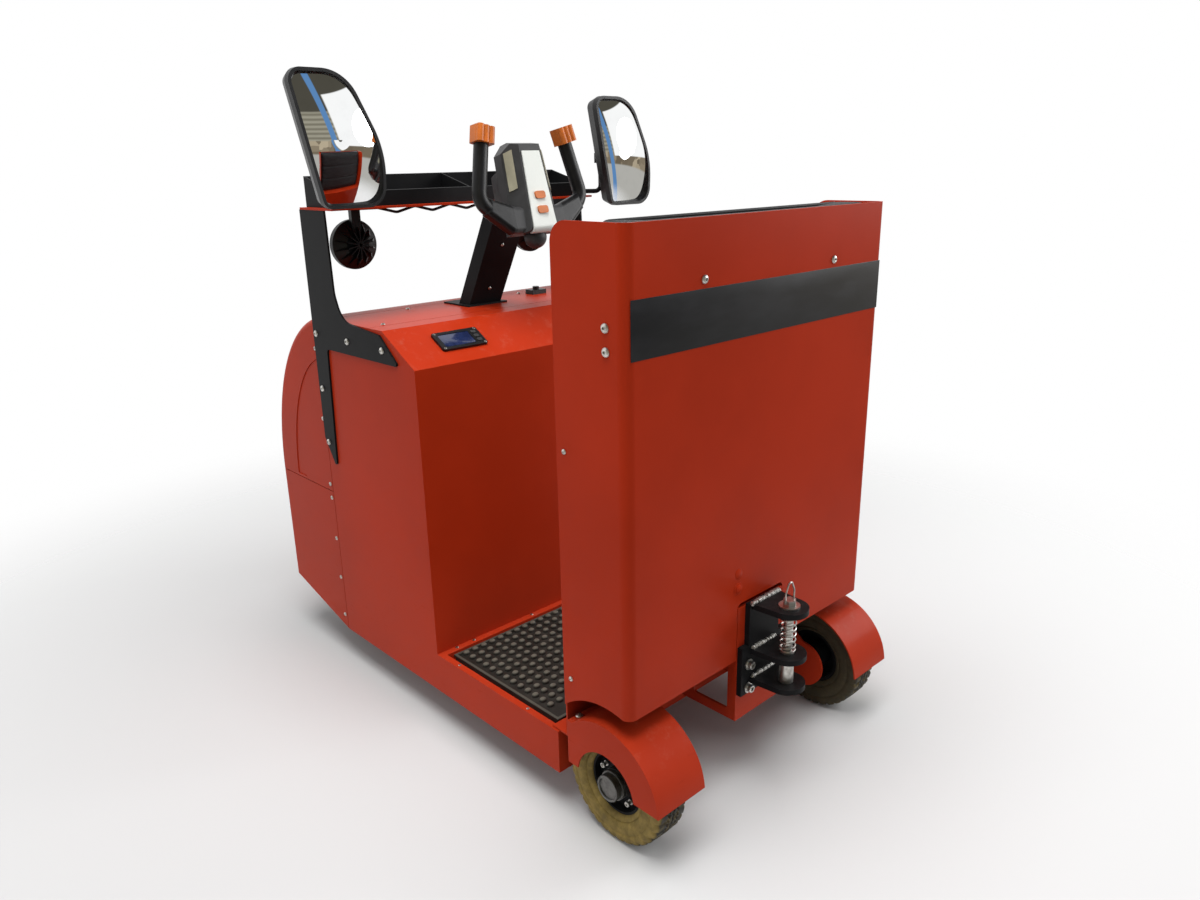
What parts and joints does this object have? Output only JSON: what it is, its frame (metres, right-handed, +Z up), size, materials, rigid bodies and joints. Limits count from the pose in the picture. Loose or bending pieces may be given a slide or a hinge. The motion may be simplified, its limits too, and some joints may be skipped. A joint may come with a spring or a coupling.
{
  "type": "stand-on electric baggage tug",
  "caption": "Stand-on electric baggage tug with a sheet-metal body, tall backrest, steered front drive wheel, mirrors, work lamps and a sprung-pin tow hitch.",
  "frame": {"origin": "on the floor under the middle of the machine's box", "axes": "+X forward, +Y to the driver's left, +Z up"},
  "size_m": [1.48, 1.045, 1.484],
  "materials": {
    "red_paint": "satin powder coat",
    "black_paint": "fine satin powder coat",
    "tyre_rubber": "dusty tan sidewall, dark tread",
    "mat_rubber": "studded rubber",
    "black_plastic": "fine moulded grain",
    "orange_plastic": "moulded, ribbed",
    "white_plastic": "smooth moulded",
    "pale_plastic": "translucent pale window",
    "steel": "zinc plated and turned",
    "mirror": "convex silvered",
    "vinyl": "black grained vinyl",
    "drive_iron": "painted casting"
  },
  "bodies": {
    "chassis_body": {"chassis": "red_paint", "tow_bracket": "red_paint", "drive_deck": "red_paint", "side_panel_left": "red_paint", "side_panel_right": "red_paint", "dash_panel": "red_paint", "top_cover": "red_paint", "nose_cover": "red_paint", "nose_panel": "red_paint", "floor_mat": "mat_rubber", "rear_panel": "red_paint", "kick_panel": "red_paint", "back_pad": "vinyl", "stub_axle_left": "steel", "stub_axle_right": "steel", "fender_left": "red_paint", "fender_right": "red_paint", "tow_hitch": "black_paint", "hitch_spring": "steel", "pillar_left": "black_paint", "pillar_right": "black_paint", "shelf": "red_paint", "tray": "black_paint", "work_lamp_left": "black_plastic", "work_lamp_right": "black_plastic", "lamp_lead": "black_plastic", "mirror_head_left": "black_plastic", "mirror_head_right": "black_plastic", "mirror_glass_left": "mirror", "mirror_glass_right": "mirror", "mirror_arm_left": "black_paint", "mirror_arm_right": "black_paint", "column": "black_paint", "gauge": "black_plastic", "top_latch": "black_plastic", "battery": "black_plastic"},
    "wheel_left": {"rear_tyre_left": "tyre_rubber", "rear_rim_left": "black_paint"},
    "wheel_right": {"rear_tyre_right": "tyre_rubber", "rear_rim_right": "black_paint"},
    "tow_pin": {"hitch_pin": "steel", "pull_ring": "steel"},
    "steering_head": {"steering_neck": "steel", "head_housing": "black_plastic", "head_fascia": "white_plastic", "head_buttons": "orange_plastic", "head_windows": "pale_plastic", "head_grips": "black_plastic", "head_caps": "orange_plastic"},
    "drive_unit": {"drive_case": "drive_iron", "drive_motor": "drive_iron"},
    "drive_wheel": {"drive_rim": "drive_iron", "drive_tyre": "mat_rubber"}
  },
  "joints": [
    {"name": "wheel_left_spin", "type": "hinge", "parent": "chassis_body", "child": "wheel_left", "pos_m": [-0.567, 0.34, 0.127], "axis": [0, 1, 0], "continuous": true},
    {"name": "wheel_right_spin", "type": "hinge", "parent": "chassis_body", "child": "wheel_right", "pos_m": [-0.567, -0.34, 0.127], "axis": [0, 1, 0], "continuous": true},
    {"name": "drive_steer", "type": "hinge", "parent": "chassis_body", "child": "drive_unit", "pos_m": [0.522, 0, 0.33], "axis": [0, 0, 1], "range_deg": [-75, 75]},
    {"name": "drive_spin", "type": "hinge", "parent": "drive_unit", "child": "drive_wheel", "pos_m": [0.522, 0, 0.115], "axis": [0, 1, 0], "continuous": true},
    {"name": "head_turn", "type": "hinge", "parent": "chassis_body", "child": "steering_head", "pos_m": [0.17679, 0, 1.17429], "axis": [-0.4848, 0, 0.8746], "range_deg": [-75, 75]},
    {"name": "pin_lift", "type": "slide", "parent": "chassis_body", "child": "tow_pin", "axis": [0, 0, 1], "range_m": [0, 0.068], "stiffness_N_per_m": 500, "springref_m": -0.02, "deforming": ["hitch_spring"]}
  ],
  "couplings": [
    {"joint": "head_turn", "follows": "drive_steer", "ratio": 1}
  ]
}
